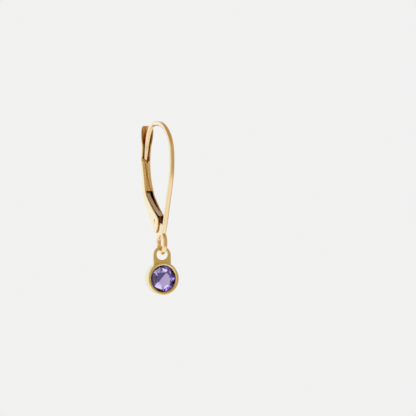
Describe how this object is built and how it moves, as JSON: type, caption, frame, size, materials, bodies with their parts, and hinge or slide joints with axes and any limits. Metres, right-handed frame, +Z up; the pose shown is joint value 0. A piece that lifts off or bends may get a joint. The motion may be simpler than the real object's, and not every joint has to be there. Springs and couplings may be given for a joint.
{
  "type": "tanzanite drop earring with lever back",
  "caption": "Gold drop earring: a bent ear wire with a hinged, sprung lever back, and a round violet stone in a satin bezel that hangs from its ring.",
  "frame": {"origin": "the underside of the wire's top arch, where the earring sits in the ear", "axes": "+Z up, the stone faces -Y, the wire and the lever lie in the plane X = 0 with the lever on the +Y side"},
  "size_m": [0.0041, 0.0099, 0.0217],
  "materials": {
    "polished_gold": "polished yellow gold",
    "stamped_gold": "polished yellow gold, lightly worked by the crimping tool",
    "satin_gold": "satin yellow gold",
    "spring_steel": "fine ground steel strip",
    "tanzanite_stone": "polished facets"
  },
  "bodies": {
    "wire": {"ear_wire": "polished_gold"},
    "lever": {"lever": "stamped_gold", "leaf_spring": "spring_steel", "hinge_rivet": "polished_gold"},
    "drop": {"bezel_drop": "satin_gold", "tanzanite": "tanzanite_stone"}
  },
  "joints": [
    {"name": "lever_hinge", "type": "hinge", "parent": "wire", "child": "lever", "pos_m": [0, -0.0003, -0.0119], "axis": [-1, 0, 0], "range_deg": [0, 60], "stiffness_Nm_per_rad": 0.0001, "springref_deg": -28.65},
    {"name": "drop_swing", "type": "hinge", "parent": "wire", "child": "drop", "pos_m": [0, -0.0017, -0.0152], "axis": [1, 0, 0], "range_deg": [-60, 60]}
  ]
}
